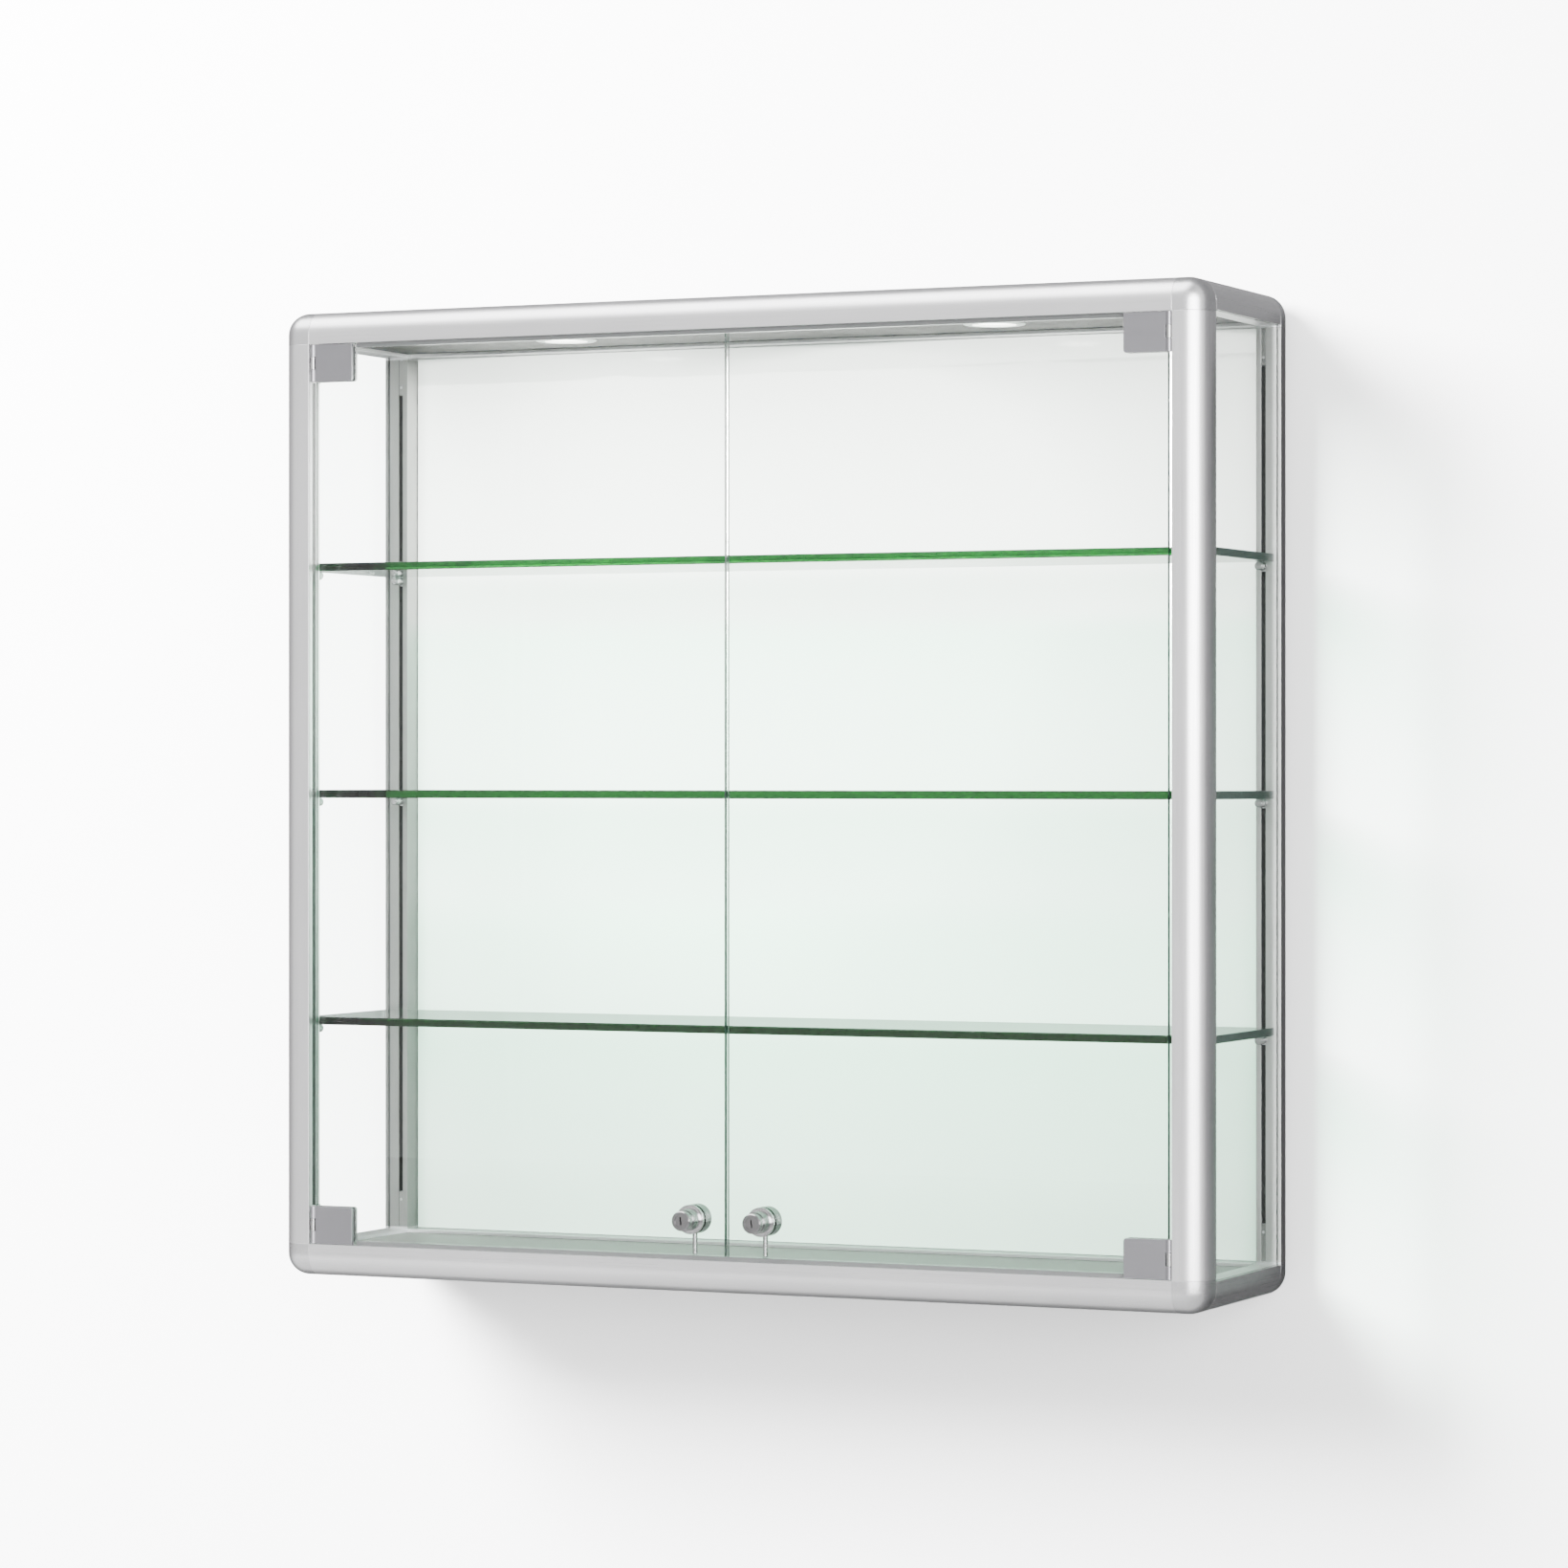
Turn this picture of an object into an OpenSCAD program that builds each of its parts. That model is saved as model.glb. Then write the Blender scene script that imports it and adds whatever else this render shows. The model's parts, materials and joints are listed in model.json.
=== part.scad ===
// Wall mounted showcase with two hinged glass doors, three glass shelves and two downlights.
// Origin: wall plane, mid width and mid height. +X is right, -Y is the front, +Z is up.

/* [Cabinet] */
// Overall width over the posts
width = 1000; // [700:10:1400]
// Overall height over the rails
height = 982; // [800:2:1400]
// Depth from the wall plane to the front face of the frame
depth = 252; // [220:2:400]

/* [Profiles] */
// Radius of the rounded outer edge of posts, rails and corners
edge_radius = 22.5; // [18:0.5:24]
// Width of a post or a front rail as seen on the front
face_width = 33; // [32:0.5:36]
// Width of the inner core of a post, from its outer side
core_width = 28.5; // [28:0.5:30]
// Height of the inner core of a rail, from its outer side
rail_core = 30.7; // [30:0.1:31.5]
// Thickness of the lip round the door opening
lip_depth = 7.4; // [6:0.2:8]

/* [Glass and panels] */
// Thickness of the door glass
door_glass_thickness = 6; // [5:0.5:6]
// Setback of the door glass behind the front face
door_setback = 5.5; // [5:0.5:6]
// Thickness of each shelf
shelf_thickness = 8; // [6:1:10]
// Thickness of each side pane
side_glass_thickness = 3.6; // [3:0.2:3.8]
// Thickness of the back panel
back_panel_thickness = 3; // [2:0.5:4]
// Thickness of the floor and ceiling panels
panel_thickness = 4; // [3:0.2:4]
// Gap between the meeting edges of the doors
meeting_gap = 3.4; // [3:0.2:6]

/* [Locks] */
// Distance of each lock from the middle of the cabinet
lock_offset = 38.2; // [30:0.2:80]
// Height of the lock axis above the lower edge of the cabinet
lock_height = 72.7; // [70:0.1:90]
// Travel of each lock bolt
bolt_travel = 8; // [7.6:0.1:8]

/* [Lights] */
// Distance of each downlight from the middle of the cabinet
light_offset = 236; // [150:2:300]

/* [Hidden] */
hw = width / 2;
hh = height / 2;
groove_in = 3.2;
groove_out = 7.6;
groove_floor = 25;
slot_in = 18.5;
slot_out = 23;
slot_mid = (slot_in + slot_out) / 2;
slot_lip = 2.5;
cavity_in = 16.2;
cavity_out = 25.3;
cavity_floor = 24.5;
panel_low = 22.8;
panel_high = 27.2;
cover_low = 2.8;
cover_high = 6.2;
panel_reach = 27;
side_reach = 23.5;
skin = 2.8;
tenon_start = 9.3;
tenon_length = 22;
post_face = face_width;
glass_front = -depth + door_setback;
glass_back = glass_front + door_glass_thickness;
door_top = hh - face_width - 4.5;
hinge_edge = hw - face_width - 5.7;
pin_x = hw - face_width - 3.5;
pin_y = -depth + 3;
knuckle_r = 2.9;
pin_r = 1.5;
plate_height = 38;
plate_top = hh - face_width - 0.5;
plate_low = plate_top - plate_height;
plate_in = hw - face_width - 49.2;
plate_out = hw - face_width - 7;
pad = 0.4;
front_plate = 3.6;
rear_plate = 3.6;
knuckle_gap = 0.3;
knuckle_part = (plate_height - 2 * knuckle_gap) / 3;
clamp_screw_r = 2;
back_front = -lip_depth - back_panel_thickness;
shelf_gap = (2 * (hh - panel_high - 3.3) - 3 * shelf_thickness) / 4;
shelf_step = shelf_gap + shelf_thickness;
shelf_half = hw - 9;
shelf_low_y = -depth + post_face + 1.5;
shelf_high_y = -post_face - 1.5;
peg_r = 4.2;
peg_length = 15;
filler_end = 421 / 491 * hh;
filler_screw_z = 429 / 491 * hh;
light_y = -depth / 2;
lock_z = -hh + lock_height;
nose_front = glass_front - 24.5;
flange_t = 3.1;
lock_r = 14.5;
core_r = 6;
core_fit = 0.05;
eccentric = bolt_travel / sqrt(2);
eccentric_r = 1.2;
crank = bolt_travel / 2;
rod_r = 2.5;
rod_y = glass_back + 5.5;
rod_tip = -door_top + 0.3;
socket_top = rod_tip - 1.2;
wall_hole_x = hw - 70;
wall_hole_z = hh - 71;
wall_hole_r = 4;
cable_x = -380 / 500 * hw;
cable_y = -60;
silver = [0.80, 0.80, 0.81];
dark = [0.20, 0.21, 0.21];
pale_glass = [0.75, 0.88, 0.82, 0.35];
eps = 0.01;
$fn = 48;

// Puts a drawing of (inward, backward) distances at one upright edge and runs it along Z
module upright(sx, front, low, high) {
  sy = front ? 1 : -1;
  multmatrix([
    [-sx, 0, 0, sx * hw],
    [0, sy, 0, front ? -depth : 0],
    [0, 0, 1, low],
    [0, 0, 0, 1]
  ])
    linear_extrude(high - low) children();
}

// Puts a drawing of (backward, inward) distances at a front or rear edge and runs it along X
module crosswise(front, sz, low, high) {
  sy = front ? 1 : -1;
  multmatrix([
    [0, 0, 1, low],
    [sy, 0, 0, front ? -depth : 0],
    [0, -sz, 0, sz * hh],
    [0, 0, 0, 1]
  ])
    linear_extrude(high - low) children();
}

// Puts a drawing of (inward from the side, inward from top or bottom) at a side edge along Y
module sidewise(sx, sz, low, high) {
  multmatrix([
    [-sx, 0, 0, sx * hw],
    [0, 0, 1, low],
    [0, -sz, 0, sz * hh],
    [0, 0, 0, 1]
  ])
    linear_extrude(high - low) children();
}

// Puts a solid drawn from an outer corner at (0, 0, 0) inwards at one corner of the cabinet
module at_corner(sx, front, sz) {
  sy = front ? 1 : -1;
  multmatrix([
    [-sx, 0, 0, sx * hw],
    [0, sy, 0, front ? -depth : 0],
    [0, 0, -sz, sz * hh],
    [0, 0, 0, 1]
  ])
    children();
}

// Draws its children as they are on the right, or mirrored on the left
module on_side(sx) {
  if (sx > 0) children();
  else mirror([1, 0, 0]) children();
}

// A box between two corners
module box(a, b) {
  translate(a) cube([b[0] - a[0], b[1] - a[1], b[2] - a[2]]);
}

// A cylinder along Y between two positions
module y_cyl(x, z, y0, y1, r0, r1) {
  translate([x, y1, z]) rotate([90, 0, 0]) cylinder(h = y1 - y0, r1 = r1, r2 = r0);
}

// A rectangle with one quarter-round corner at the origin
module round_block(w, h) {
  intersection() {
    square([w, h]);
    union() {
      translate([edge_radius, edge_radius]) circle(r = edge_radius, $fn = 96);
      translate([edge_radius, 0]) square([w, h]);
      translate([0, edge_radius]) square([w, h]);
    }
  }
}

// The hollow chamber under the rounded skin
module chamber(w, h) {
  intersection() {
    square([w, h]);
    union() {
      translate([edge_radius, edge_radius]) circle(r = edge_radius - skin, $fn = 96);
      translate([edge_radius, skin]) square([w, h]);
    }
  }
}

module post_section() {
  difference() {
    union() {
      round_block(core_width, post_face);
      translate([edge_radius, 0]) square([face_width - edge_radius, lip_depth]);
    }
    chamber(core_width - 2.5, 22);
    translate([groove_in, groove_floor]) square([groove_out - groove_in, post_face]);
    translate([slot_in, cavity_floor]) square([slot_out - slot_in, post_face]);
    translate([cavity_in, cavity_floor])
      square([cavity_out - cavity_in, post_face - slot_lip - cavity_floor]);
  }
}

module rail_section() {
  difference() {
    union() {
      round_block(post_face, rail_core);
      translate([0, edge_radius]) square([lip_depth, face_width - edge_radius]);
    }
    chamber(24.5, 20);
    translate([panel_reach, panel_low]) square([post_face, panel_high - panel_low]);
    translate([panel_reach, cover_low]) square([post_face, cover_high - cover_low]);
  }
}

module side_rail_section() {
  difference() {
    round_block(core_width, rail_core);
    chamber(21.5, 19.5);
    translate([groove_in, rail_core - 9]) square([groove_out - groove_in, rail_core]);
    translate([side_reach, panel_low]) square([core_width, panel_high - panel_low]);
    translate([side_reach, cover_low]) square([core_width, cover_high - cover_low]);
  }
}

module post(sx, front) {
  color(silver) upright(sx, front, -hh + face_width, hh - face_width) post_section();
}

module cross_rail(front, sz) {
  color(silver)
    difference() {
      crosswise(front, sz, -hw + face_width, hw - face_width) rail_section();
      if (front && sz < 0)
        for (sx = [-1, 1])
          translate([sx * lock_offset, rod_y, -hh + 12])
            cylinder(h = rail_core, r = 4);
    }
}

module side_rail(sx, sz) {
  color(silver) sidewise(sx, sz, -depth + post_face, -post_face) side_rail_section();
}

// One corner casting: a rounded cube with three tenons that enter the profiles
module corner_casting() {
  a = face_width;
  r = edge_radius;
  difference() {
    intersection() {
      cube([a, a, a]);
      union() {
        translate([r, r, r]) sphere(r = r, $fn = 64);
        translate([r, r, r]) cylinder(h = a, r = r, $fn = 96);
        translate([r, r, r]) rotate([0, 90, 0]) cylinder(h = a, r = r, $fn = 96);
        translate([r, r, r]) rotate([-90, 0, 0]) cylinder(h = a, r = r, $fn = 96);
        box([r, r, 0], [a, a, a]);
        box([r, 0, r], [a, a, a]);
        box([0, r, r], [a, a, a]);
      }
    }
    box([core_width, lip_depth, rail_core], [a + 1, a + 1, a + 1]);
    box([groove_in, groove_floor, rail_core - 9], [groove_out, a + 1, a + 1]);
    box([side_reach, panel_reach, panel_low], [a + 1, a + 1, panel_high]);
    box([side_reach, panel_reach, cover_low], [a + 1, a + 1, cover_high]);
  }
  box([tenon_start, tenon_start, a - 1], [core_width - 2.8, 21.7, a + tenon_length]);
  box([a - 1, tenon_start, tenon_start], [a + tenon_length, 24.2, 19.7]);
  box([tenon_start, a - 1, tenon_start], [21.2, a + tenon_length, 19.2]);
}

module corners(sx, front) {
  color([0.74, 0.74, 0.75])
    for (sz = [-1, 1])
      at_corner(sx, front, sz) corner_casting();
}

module back_panel() {
  color([0.93, 0.94, 0.93])
    box([-hw + core_width + 0.5, back_front, -hh + rail_core + 0.3],
        [hw - core_width - 0.5, -lip_depth, hh - rail_core - 0.3]);
}

// A horizontal panel that sits in the grooves of the rails
module rail_panel(z, t) {
  box([-hw + side_reach + 0.3, -depth + panel_reach + 0.3, z],
      [hw - side_reach - 0.3, -panel_reach - 0.3, z + t]);
}

module floor_panel() {
  color([0.68, 0.69, 0.68]) rail_panel(-hh + panel_high - 0.2 - panel_thickness, panel_thickness);
}

module ceiling_panel() {
  color([0.68, 0.69, 0.68])
    difference() {
      rail_panel(hh - panel_high + 0.2, panel_thickness);
      for (sx = [-1, 1])
        translate([sx * light_offset, light_y, hh - panel_high - 5]) cylinder(h = 20, r = 27);
    }
}

module top_cover() {
  color(silver)
    difference() {
      rail_panel(hh - cover_high + 0.2, 3);
      translate([cable_x, cable_y, hh - 20]) cylinder(h = 30, r = 7);
    }
}

module side_glass(sx) {
  inner = groove_in + (groove_out - groove_in - side_glass_thickness) / 2;
  color(pale_glass)
    on_side(sx)
      box([hw - inner - side_glass_thickness, -depth + groove_floor + 0.5, -hh + rail_core - 8],
          [hw - inner, -groove_floor - 0.5, hh - rail_core + 8]);
}

// Thin dark strips between each side pane and the inner lips of its grooves
module glass_gaskets() {
  t = (groove_out - groove_in - side_glass_thickness) / 2 - 0.02;
  x0 = hw - groove_out + 0.01;
  color(dark)
    for (sx = [-1, 1])
      on_side(sx) {
        for (y = [-depth + post_face - 4, -post_face])
          box([x0, y, -hh + face_width + 2], [x0 + t, y + 4, hh - face_width - 2]);
        for (z = [-hh + rail_core - 4, hh - rail_core])
          box([x0, -depth + post_face + 2, z], [x0 + t, -post_face - 2, z + 4]);
      }
}

module shelf(level) {
  z = level * shelf_step;
  color([0.55, 0.85, 0.68, 0.35])
    box([-shelf_half, shelf_low_y, z - shelf_thickness / 2],
        [shelf_half, shelf_high_y, z + shelf_thickness / 2]);
}

// Places its children at the twelve shelf supports, with +Y pointing out of the post's slot
module at_supports() {
  for (sx = [-1, 1], level = [-1, 0, 1], front = [true, false]) {
    z = level * shelf_step - shelf_thickness / 2 - peg_r;
    y = front ? -depth + post_face : -post_face;
    translate([sx * (hw - slot_mid), y, z]) rotate([0, 0, front ? 0 : 180]) children();
  }
}

module shelf_pegs() {
  $fn = 20;
  color(silver)
    at_supports() {
      y_cyl(0, 0, -6, 0.5, 2, 2);
      y_cyl(0, 0, 0, 3, 4, 4);
      y_cyl(0, 0, 2.5, 7.5, 2.5, 2.5);
      y_cyl(0, 0, 7, peg_length - 0.8, peg_r, peg_r);
      y_cyl(0, 0, peg_length - 0.8, peg_length, peg_r, peg_r - 0.8);
    }
}

module peg_nuts() {
  $fn = 20;
  color([0.62, 0.63, 0.64])
    at_supports()
      difference() {
        box([-4.2, -post_face + cavity_floor + 0.4, -5], [4.2, -slot_lip - 0.2, 5]);
        y_cyl(0, 0, -9, 0, 2.02, 2.02);
      }
}

// Places its children at the eight slot ends, with +Y pointing out of the slot and +Z outwards
module at_slot_ends() {
  for (sx = [-1, 1], sz = [-1, 1], front = [true, false]) {
    y = front ? -depth + post_face : -post_face;
    translate([sx * (hw - slot_mid), y, 0])
      multmatrix([[1, 0, 0, 0], [0, front ? 1 : -1, 0, 0], [0, 0, sz, 0], [0, 0, 0, 1]])
        children();
  }
}

module slot_fillers() {
  $fn = 20;
  color([0.76, 0.76, 0.77])
    at_slot_ends()
      difference() {
        union() {
          box([-2.1, -slot_lip - 1, filler_end], [2.1, -0.4, hh - face_width - 0.5]);
          box([-4.4, -post_face + cavity_floor + 0.3, filler_end],
              [4.4, -slot_lip - 0.1, hh - face_width - 0.5]);
        }
        y_cyl(0, filler_screw_z, -9, 1, 1.5, 1.5);
      }
}

module frame_screws() {
  $fn = 20;
  color([0.45, 0.46, 0.47]) {
    at_slot_ends()
      difference() {
        y_cyl(0, filler_screw_z, -7, -0.9, 1.48, 1.48);
        y_cyl(0, filler_screw_z, -2, 0, 0.7, 0.7);
      }
    for (sx = [-1, 1], sz = [-1, 1])
      on_side(sx)
        for (y = [-depth + 13.5, -depth + 25.5])
          translate([hw - core_width - 2.63, y, sz * (plate_top - plate_height / 2)])
            rotate([0, -90, 0])
              cylinder(h = 1.2, r1 = 3.2, r2 = 2.2);
  }
}

module door_seals() {
  color([0.32, 0.33, 0.33])
    for (sz = [-1, 1])
      mirror([0, 0, sz > 0 ? 0 : 1])
        box([-plate_in + 2.3, -depth + lip_depth + 0.1, door_top + 0.4],
            [plate_in - 2.3, glass_back - 0.3, hh - rail_core - 0.01]);
}

module wall_plates() {
  color([0.62, 0.63, 0.64])
    for (sx = [-1, 1], sz = [-1, 1])
      difference() {
        at_corner(sx, false, sz)
          box([face_width, 0, face_width], [face_width + 60, 3, face_width + 60]);
        y_cyl(sx * wall_hole_x, sz * wall_hole_z, -10, 10, wall_hole_r, wall_hole_r);
      }
}

// Sockets in the bottom rail that take the lock bolts
module bolt_sockets() {
  color([0.70, 0.71, 0.72])
    for (sx = [-1, 1])
      translate([sx * lock_offset, rod_y, 0])
        difference() {
          union() {
            translate([0, 0, -hh + 16]) cylinder(h = socket_top + hh - 16, r = 3.98);
            translate([0, 0, -hh + rail_core + 0.02])
              cylinder(h = socket_top + hh - rail_core - 0.02, r = 5.4);
          }
          translate([0, 0, -hh + 18]) cylinder(h = 60, r = rod_r + 0.3);
        }
}

// Low and high ends of knuckle part 0, 1 or 2 of the upper hinge
function knuckle_z(i) = plate_low + i * (knuckle_part + knuckle_gap);

module hinge_leaf() {
  z0 = knuckle_z(1);
  z1 = z0 + knuckle_part;
  arm_x = hw - face_width - 0.4;
  wall_x = hw - core_width - 0.02;
  difference() {
    union() {
      translate([pin_x, pin_y, z0]) cylinder(h = knuckle_part, r = knuckle_r);
      box([arm_x - 1.6, pin_y, z0], [arm_x, -depth + lip_depth + 3, z1]);
      box([arm_x - 1.6, -depth + lip_depth + 1, z0], [wall_x, -depth + lip_depth + 3, z1]);
      box([wall_x - 2.6, -depth + lip_depth + 1, plate_low], [wall_x, -depth + 30, plate_top]);
    }
    translate([pin_x, pin_y, z0 - 1]) cylinder(h = plate_height, r = pin_r + 0.02);
  }
}

module hinge_leaves() {
  color([0.72, 0.72, 0.73])
    for (sx = [-1, 1], sz = [-1, 1])
      on_side(sx)
        multmatrix([[1, 0, 0, 0], [0, 1, 0, 0], [0, 0, sz, 0], [0, 0, 0, 1]])
          hinge_leaf();
}

module hinge_pins() {
  color([0.66, 0.67, 0.68])
    for (sx = [-1, 1], sz = [-1, 1])
      on_side(sx)
        translate([pin_x, pin_y, sz > 0 ? plate_low + 0.3 : -plate_top + 0.3])
          cylinder(h = plate_height - 0.6, r = pin_r);
}

// Places its children at the upper and the lower hinge of one door
module at_hinges(sx) {
  on_side(sx)
    for (sz = [-1, 1])
      multmatrix([[1, 0, 0, 0], [0, 1, 0, 0], [0, 0, sz, 0], [0, 0, 0, 1]])
        children();
}

// Holes for the two clamp screws of a hinge
module clamp_holes(r) {
  for (z = [plate_low + 9, plate_low + 27])
    y_cyl(plate_in + 21, z, -depth - 5, glass_back + 12, r, r);
}

module hinge_plates(sx) {
  y0 = glass_front - pad - front_plate;
  y1 = glass_front - pad;
  color([0.70, 0.70, 0.71])
    at_hinges(sx)
      difference() {
        union() {
          box([plate_in + 3, y0, plate_low], [plate_out, y1, plate_top]);
          box([plate_in, y0, plate_low + 3], [plate_out, y1, plate_top]);
          y_cyl(plate_in + 3, plate_low + 3, y0, y1, 3, 3);
          for (i = [0, 2])
            translate([0, 0, knuckle_z(i)]) {
              translate([pin_x, pin_y, 0]) cylinder(h = knuckle_part, r = knuckle_r);
              box([plate_out - 1, y0, 0], [pin_x, y0 + 2, knuckle_part]);
            }
        }
        translate([pin_x, pin_y, plate_low - 1]) cylinder(h = plate_height + 2, r = pin_r + 0.06);
        y_cyl(plate_in + 21, plate_low + 9, y0 + 1, y1 + 1, clamp_screw_r, clamp_screw_r);
        y_cyl(plate_in + 21, plate_low + 27, y0 + 1, y1 + 1, clamp_screw_r, clamp_screw_r);
      }
}

module clamp_plates(sx) {
  y0 = glass_back + pad;
  y1 = y0 + rear_plate;
  color([0.70, 0.70, 0.71])
    at_hinges(sx)
      difference() {
        union() {
          box([plate_in + 3, y0, plate_low], [plate_out, y1, plate_top]);
          box([plate_in, y0, plate_low + 3], [plate_out, y1, plate_top]);
          y_cyl(plate_in + 3, plate_low + 3, y0, y1, 3, 3);
          box([plate_in, glass_front - pad + 0.02, door_top + 0.4], [plate_out, y1, plate_top]);
        }
        clamp_holes(clamp_screw_r + 0.02);
        for (z = [plate_low + 9, plate_low + 27])
          y_cyl(plate_in + 21, z, y1 - 2, y1 + 0.1, clamp_screw_r, clamp_screw_r + 2.1);
      }
}

module hinge_pads(sx) {
  color(dark)
    at_hinges(sx)
      difference() {
        for (y = [glass_front - pad + 0.02, glass_back + 0.02])
          box([plate_in + 1, y, plate_low + 1], [plate_out - 1, y + pad - 0.04, door_top - 1]);
        clamp_holes(4.5);
      }
}

module clamp_screws(sx) {
  y1 = glass_back + pad + rear_plate;
  color([0.55, 0.56, 0.57])
    at_hinges(sx)
      for (z = [plate_low + 9, plate_low + 27])
        difference() {
          union() {
            y_cyl(plate_in + 21, z, glass_front - pad - front_plate + 1.2, y1 - 0.1,
                  clamp_screw_r - 0.02, clamp_screw_r - 0.02);
            y_cyl(plate_in + 21, z, y1 - 1.9, y1 - 0.1, clamp_screw_r - 0.02, clamp_screw_r + 1.8);
          }
          translate([plate_in + 21, y1, z]) rotate([90, 0, 0]) cylinder(h = 1.4, r = 1.2, $fn = 6);
        }
}

module door_glass(sx) {
  color(pale_glass)
    difference() {
      on_side(sx)
        box([meeting_gap / 2, glass_front, -door_top], [hinge_edge, glass_back, door_top]);
      y_cyl(sx * lock_offset, lock_z, glass_front - 1, glass_back + 1, 10.1, 10.1);
      at_hinges(sx) clamp_holes(4.5);
    }
}

// Front lock body: flange on the glass, stepped nose, barrel through the glass
module lock_body(sx) {
  x = sx * lock_offset;
  color([0.62, 0.62, 0.64])
    difference() {
      union() {
        y_cyl(x, lock_z, glass_front - flange_t, glass_front - 0.02, lock_r, lock_r);
        y_cyl(x, lock_z, glass_front - 15.5, glass_front - flange_t + eps, 10.6, 12);
        y_cyl(x, lock_z, nose_front + 1, glass_front - 15, 9.8, 9.8);
        y_cyl(x, lock_z, nose_front, nose_front + 1 + eps, 8.8, 9.8);
        y_cyl(x, lock_z, glass_front - flange_t, glass_back, 9.8, 9.8);
      }
      y_cyl(x, lock_z, nose_front - 1, glass_back + 1, core_r + core_fit, core_r + core_fit);
    }
}

// Rear lock housing: a cup against the back of the glass with a guide hole for the bolt
module lock_housing(sx) {
  x = sx * lock_offset;
  color([0.62, 0.62, 0.64])
    difference() {
      union() {
        y_cyl(x, lock_z, glass_back + 0.02, glass_back + 13.2, lock_r, lock_r);
        y_cyl(x, lock_z, glass_back + 13.2 - eps, glass_back + 14, lock_r, lock_r - 0.8);
      }
      y_cyl(x, lock_z, glass_back - 1, glass_back + 12.4, 12.8, 12.8);
      translate([x, rod_y, lock_z - 20]) cylinder(h = 20, r = rod_r + 0.06);
    }
}

// Turning core: plug with a stepped keyway, a retaining disc and an eccentric pin
module lock_core(sx) {
  x = sx * lock_offset;
  y_disc = glass_back + 0.3;
  color([0.55, 0.55, 0.57])
    difference() {
      union() {
        y_cyl(x, lock_z, nose_front + 0.4, y_disc + eps, core_r, core_r);
        y_cyl(x, lock_z, y_disc, y_disc + 2.1, 7.2, 7.2);
        y_cyl(x + crank, lock_z + crank, y_disc + 2, y_disc + 7.6, eccentric_r, eccentric_r);
      }
      box([x - 0.4, nose_front - 1, lock_z - 4], [x + 1, nose_front + 9, lock_z]);
      box([x - 1, nose_front - 1, lock_z - 0.6], [x + 0.4, nose_front + 9, lock_z + 4]);
    }
}

// Bolt: a yoke that the eccentric pin drives and a rod that points down
module lock_bolt(sx) {
  x = sx * lock_offset;
  slot = eccentric_r + 0.6;
  color([0.75, 0.75, 0.76])
    difference() {
      union() {
        box([x - 3, rod_y - 1.7, lock_z + crank - slot - 1.4],
            [x + eccentric + 3.3, rod_y + 1.7, lock_z + crank + slot + 1.4]);
        translate([x, rod_y, rod_tip + 0.6]) cylinder(h = lock_z + crank - rod_tip, r = rod_r);
        translate([x, rod_y, rod_tip]) cylinder(h = 0.6 + eps, r1 = rod_r - 0.6, r2 = rod_r);
      }
      box([x + crank - slot, rod_y - 4, lock_z + crank - slot],
          [x + eccentric + slot, rod_y + 4, lock_z + crank + slot]);
    }
}

module downlight_housings() {
  z = hh - panel_high + 0.2;
  color([0.70, 0.71, 0.71])
    for (sx = [-1, 1])
      translate([sx * light_offset, light_y, z])
        difference() {
          union() {
            translate([0, 0, -1.2]) cylinder(h = 1.2, r = 31);
            translate([0, 0, -2]) cylinder(h = 0.8 + eps, r1 = 29, r2 = 31);
            translate([0, 0, -eps]) cylinder(h = 16, r = 26.7);
          }
          translate([0, 0, 0.6]) cylinder(h = 13, r = 24);
          translate([0, 0, -3]) cylinder(h = 10, r = 22);
        }
}

module downlight_lenses() {
  color([0.95, 0.96, 0.92, 0.8])
    for (sx = [-1, 1])
      translate([sx * light_offset, light_y, hh - panel_high + 0.85]) cylinder(h = 2, r = 23.6);
}

module led_modules() {
  color([0.90, 0.88, 0.70])
    for (sx = [-1, 1])
      translate([sx * light_offset, light_y, hh - panel_high + 10.2]) cylinder(h = 3.5, r = 18);
}

module led_driver() {
  z = hh - panel_high + 0.2 + panel_thickness;
  color([0.92, 0.92, 0.91])
    difference() {
      box([-80, light_y - 22, z + 0.02], [80, light_y + 22, z + 14]);
      for (sx = [-1, 1])
        box([sx * 74 - 7, light_y - 30, z + 3], [sx * 74 + 7, light_y - 15, z + 20]);
    }
}

module cable_grommet() {
  z = hh - cover_high + 0.2;
  color(dark)
    translate([cable_x, cable_y, z])
      difference() {
        union() {
          translate([0, 0, -1.5]) cylinder(h = 6, r = 6.98);
          translate([0, 0, 3.02]) cylinder(h = 1.5, r = 9);
          translate([0, 0, -1.5]) cylinder(h = 1.48, r = 9);
        }
        translate([0, 0, -3]) cylinder(h = 10, r = 4);
      }
}

post(-1, true);  // post_front_left
post(1, true);  // post_front_right
post(-1, false);  // post_rear_left
post(1, false);  // post_rear_right
cross_rail(true, 1);  // rail_top_front
cross_rail(true, -1);  // rail_bottom_front
cross_rail(false, 1);  // rail_top_rear
cross_rail(false, -1);  // rail_bottom_rear
side_rail(-1, 1);  // rail_top_left
side_rail(1, 1);  // rail_top_right
side_rail(-1, -1);  // rail_bottom_left
side_rail(1, -1);  // rail_bottom_right
corners(-1, true);  // corners_front_left
corners(1, true);  // corners_front_right
corners(-1, false);  // corners_rear_left
corners(1, false);  // corners_rear_right
back_panel();
floor_panel();
ceiling_panel();
top_cover();
side_glass(-1);  // side_glass_left
side_glass(1);  // side_glass_right
glass_gaskets();
shelf(1);  // shelf_upper
shelf(0);  // shelf_middle
shelf(-1);  // shelf_lower
shelf_pegs();
peg_nuts();
slot_fillers();
frame_screws();
door_seals();
wall_plates();
bolt_sockets();
hinge_leaves();
hinge_pins();
downlight_housings();
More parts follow.
